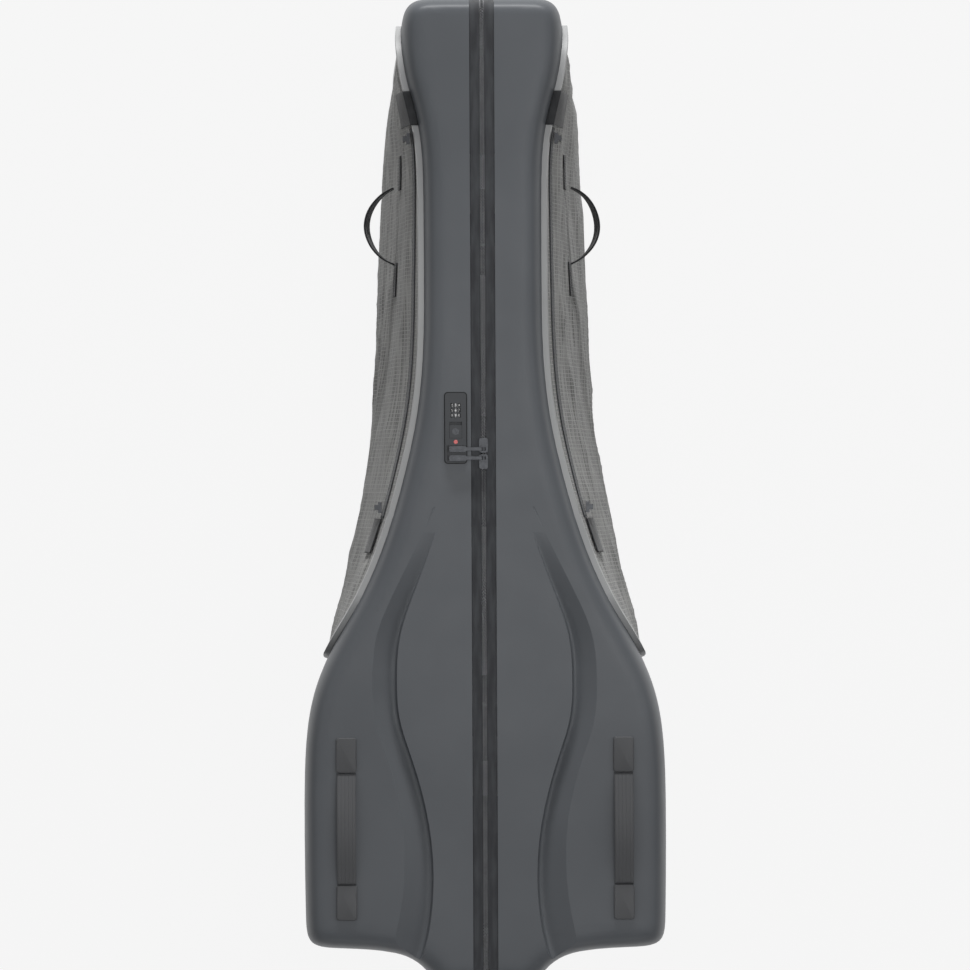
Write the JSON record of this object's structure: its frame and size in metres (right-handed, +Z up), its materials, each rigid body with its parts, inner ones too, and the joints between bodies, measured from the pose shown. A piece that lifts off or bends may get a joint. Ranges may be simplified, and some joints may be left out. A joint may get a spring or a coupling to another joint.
{
  "type": "bike travel case",
  "caption": "Wheeled bike travel case with moulded half shells that hinge from a base tray, fabric wheel sides, a centre zip and a combination lock over an internal axle stand.",
  "frame": {"origin": "on the floor, under the middle of the case's length and width", "axes": "+X across the case, +Y along it towards the narrow wheeled end, +Z up"},
  "size_m": [0.5034, 1.37, 0.8169],
  "materials": {
    "shell_plastic": "fine grained moulded shell",
    "tray_plastic": "fine grained moulded tray",
    "trim_plastic": "smooth satin edge trim",
    "side_fabric": "ripstop weave with foam backing",
    "webbing": "woven webbing",
    "strap_rubber": "soft moulded strap",
    "zip_fabric": "woven zip tape",
    "zip_coil": "nylon zip coil",
    "zip_metal": "gunmetal plating",
    "black_plastic": "satin black plastic",
    "dial_plastic": "printed number wheels",
    "marker_red": "plain red marker",
    "steel": "bright zinc plate",
    "alloy": "clear anodised",
    "tyre_rubber": "soft wheel tread",
    "skid_rubber": "moulded rubber",
    "pad_foam": "fabric covered foam"
  },
  "bodies": {
    "base": {"base_tray": "tray_plastic", "wheel_housings": "black_plastic", "wheel_bearings": "steel", "wheel_axles": "steel", "front_skids": "skid_rubber", "glide_rails": "black_plastic", "stand_rail": "alloy", "frame_rest_pad": "pad_foam", "hinge_rods": "steel", "base_hinge_leaves": "black_plastic"},
    "fork_tower": {"fork_tower": "black_plastic", "fork_axle": "alloy"},
    "fork_knob": {"fork_tower_knob": "black_plastic"},
    "rear_tower": {"rear_tower": "black_plastic", "rear_axle": "alloy"},
    "rear_knob": {"rear_tower_knob": "black_plastic"},
    "left_half": {"left_shell": "shell_plastic", "left_trim_lip": "trim_plastic", "left_fabric_side": "side_fabric", "left_sill": "alloy", "left_zip_tape": "zip_fabric", "left_zip_teeth": "zip_coil", "left_strap_anchors": "strap_rubber", "left_strap_handle": "strap_rubber", "left_handle_patches": "webbing", "left_pocket_zip": "zip_fabric", "left_zip_garages": "webbing", "lock_case": "black_plastic", "dial_pin": "steel", "lock_marker": "marker_red"},
    "left_wheel": {"left_wheel_tyre": "tyre_rubber", "left_wheel_core": "black_plastic"},
    "left_grip": {"left_carry_handle": "webbing"},
    "left_rear_pocket_slider": {"left_rear_pocket_slider": "zip_metal"},
    "left_front_pocket_slider": {"left_front_pocket_slider": "zip_metal"},
    "right_half": {"right_shell": "shell_plastic", "right_trim_lip": "trim_plastic", "right_fabric_side": "side_fabric", "right_sill": "alloy", "right_zip_tape": "zip_fabric", "right_zip_teeth": "zip_coil", "right_strap_anchors": "strap_rubber", "right_strap_handle": "strap_rubber", "right_handle_patches": "webbing", "right_pocket_zip": "zip_fabric", "right_zip_garages": "webbing"},
    "right_wheel": {"right_wheel_tyre": "tyre_rubber", "right_wheel_core": "black_plastic"},
    "right_grip": {"right_carry_handle": "webbing"},
    "right_rear_pocket_slider": {"right_rear_pocket_slider": "zip_metal"},
    "right_front_pocket_slider": {"right_front_pocket_slider": "zip_metal"},
    "front_slider": {"front_zip_slider": "zip_metal"},
    "front_puller": {"front_zip_puller": "zip_metal"},
    "rear_slider": {"rear_zip_slider": "zip_metal"},
    "rear_puller": {"rear_zip_puller": "zip_metal"},
    "lock_dial_1": {"lock_dial_1": "dial_plastic"},
    "lock_dial_2": {"lock_dial_2": "dial_plastic"},
    "lock_dial_3": {"lock_dial_3": "dial_plastic"},
    "lock_button": {"lock_button": "black_plastic"},
    "key_barrel": {"key_barrel": "steel"}
  },
  "joints": [
    {"name": "left_half_open", "type": "hinge", "parent": "base", "child": "left_half", "pos_m": [-0.134, 0, 0.11], "axis": [0, -1, 0], "range_deg": [0, 80]},
    {"name": "left_wheel_spin", "type": "hinge", "parent": "base", "child": "left_wheel", "pos_m": [-0.12, 0.622, 0.038], "axis": [1, 0, 0], "continuous": true},
    {"name": "left_grip_lift", "type": "hinge", "parent": "left_half", "child": "left_grip", "pos_m": [-0.12571, 0.376, 0.611], "axis": [0, 1, 0], "range_deg": [0, 80]},
    {"name": "left_rear_pocket_zip", "type": "slide", "parent": "left_half", "child": "left_rear_pocket_slider", "axis": [0, -1, 0], "range_m": [0, 0.25]},
    {"name": "left_front_pocket_zip", "type": "slide", "parent": "left_half", "child": "left_front_pocket_slider", "axis": [0.2462, 0.9692, 0], "range_m": [0, 0.064]},
    {"name": "right_half_open", "type": "hinge", "parent": "base", "child": "right_half", "pos_m": [0.134, 0, 0.11], "axis": [0, 1, 0], "range_deg": [0, 80]},
    {"name": "right_wheel_spin", "type": "hinge", "parent": "base", "child": "right_wheel", "pos_m": [0.12, 0.622, 0.038], "axis": [1, 0, 0], "continuous": true},
    {"name": "right_grip_lift", "type": "hinge", "parent": "right_half", "child": "right_grip", "pos_m": [0.12571, 0.376, 0.611], "axis": [0, -1, 0], "range_deg": [0, 80]},
    {"name": "right_rear_pocket_zip", "type": "slide", "parent": "right_half", "child": "right_rear_pocket_slider", "axis": [0, -1, 0], "range_m": [0, 0.25]},
    {"name": "right_front_pocket_zip", "type": "slide", "parent": "right_half", "child": "right_front_pocket_slider", "axis": [-0.2462, 0.9692, 0], "range_m": [0, 0.064]},
    {"name": "front_main_zip", "type": "slide", "parent": "left_half", "child": "front_slider", "axis": [0, -1, 0], "range_m": [0, 0.62]},
    {"name": "front_puller_lift", "type": "hinge", "parent": "front_slider", "child": "front_puller", "pos_m": [0, 0.0466, 0.8079], "axis": [0, 1, 0], "range_deg": [0, 160]},
    {"name": "rear_main_zip", "type": "slide", "parent": "left_half", "child": "rear_slider", "axis": [0, 1, 0], "range_m": [0, 0.53]},
    {"name": "rear_puller_lift", "type": "hinge", "parent": "rear_slider", "child": "rear_puller", "pos_m": [0, 0.059, 0.8079], "axis": [0, 1, 0], "range_deg": [0, 160]},
    {"name": "lock_dial_1_turn", "type": "hinge", "parent": "left_half", "child": "lock_dial_1", "pos_m": [-0.038, 0.119, 0.7974], "axis": [0, 1, 0], "continuous": true},
    {"name": "lock_dial_2_turn", "type": "hinge", "parent": "left_half", "child": "lock_dial_2", "pos_m": [-0.038, 0.112, 0.7974], "axis": [0, 1, 0], "continuous": true},
    {"name": "lock_dial_3_turn", "type": "hinge", "parent": "left_half", "child": "lock_dial_3", "pos_m": [-0.038, 0.105, 0.7974], "axis": [0, 1, 0], "continuous": true},
    {"name": "lock_button_push", "type": "slide", "parent": "left_half", "child": "lock_button", "axis": [0, 1, 0], "range_m": [0, 0.004], "stiffness_N_per_m": 200},
    {"name": "key_turn", "type": "hinge", "parent": "lock_button", "child": "key_barrel", "pos_m": [-0.038, 0.083, 0.8], "axis": [0, 0, 1], "range_deg": [0, 90]},
    {"name": "fork_tower_slide", "type": "slide", "parent": "base", "child": "fork_tower", "axis": [0, 1, 0], "range_m": [-0.05, 0.12]},
    {"name": "rear_tower_slide", "type": "slide", "parent": "base", "child": "rear_tower", "axis": [0, 1, 0], "range_m": [-0.15, 0.05]},
    {"name": "fork_knob_turn", "type": "hinge", "parent": "fork_tower", "child": "fork_knob", "pos_m": [0, -0.3055, 0.06], "axis": [0, 0, 1], "continuous": true},
    {"name": "rear_knob_turn", "type": "hinge", "parent": "rear_tower", "child": "rear_knob", "pos_m": [0, 0.3555, 0.06], "axis": [0, 0, 1], "continuous": true}
  ]
}
